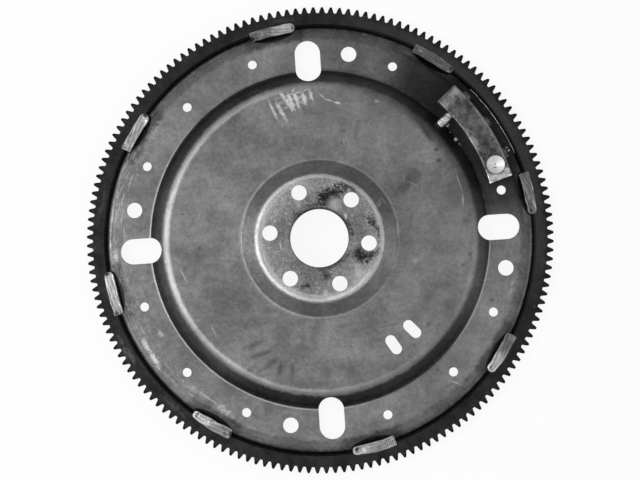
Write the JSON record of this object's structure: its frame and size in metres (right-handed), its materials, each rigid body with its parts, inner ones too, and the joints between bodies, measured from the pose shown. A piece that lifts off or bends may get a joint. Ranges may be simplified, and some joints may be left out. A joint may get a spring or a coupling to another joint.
{
  "type": "flexplate",
  "caption": "Dished steel drive plate with a welded starter ring gear, crank bolt holes, converter slots and a welded balance weight.",
  "frame": {"origin": "on the crank axis, level with the ring gear's rear face, on which the part lies", "axes": "+Z along the crank axis towards the engine; +X and +Y through two of the converter slots"},
  "size_m": [0.3606, 0.3606, 0.0263],
  "materials": {
    "plate_steel": "dull dark pressed steel",
    "ring_steel": "black heat-treated steel",
    "weld_steel": "rippled weld metal",
    "weight_steel": "mottled bar steel"
  },
  "bodies": {
    "root": {"stamped_plate": "plate_steel", "ring_gear": "ring_steel", "ring_weld_1": "weld_steel", "ring_weld_2": "weld_steel", "ring_weld_3": "weld_steel", "ring_weld_4": "weld_steel", "ring_weld_5": "weld_steel", "ring_weld_6": "weld_steel", "ring_weld_7": "weld_steel", "ring_weld_8": "weld_steel", "balance_weight": "weight_steel", "weight_tack_1": "weld_steel", "weight_tack_2": "weld_steel", "weight_tack_3": "weld_steel", "weight_weld_inner": "weld_steel"}
  },
  "joints": []
}
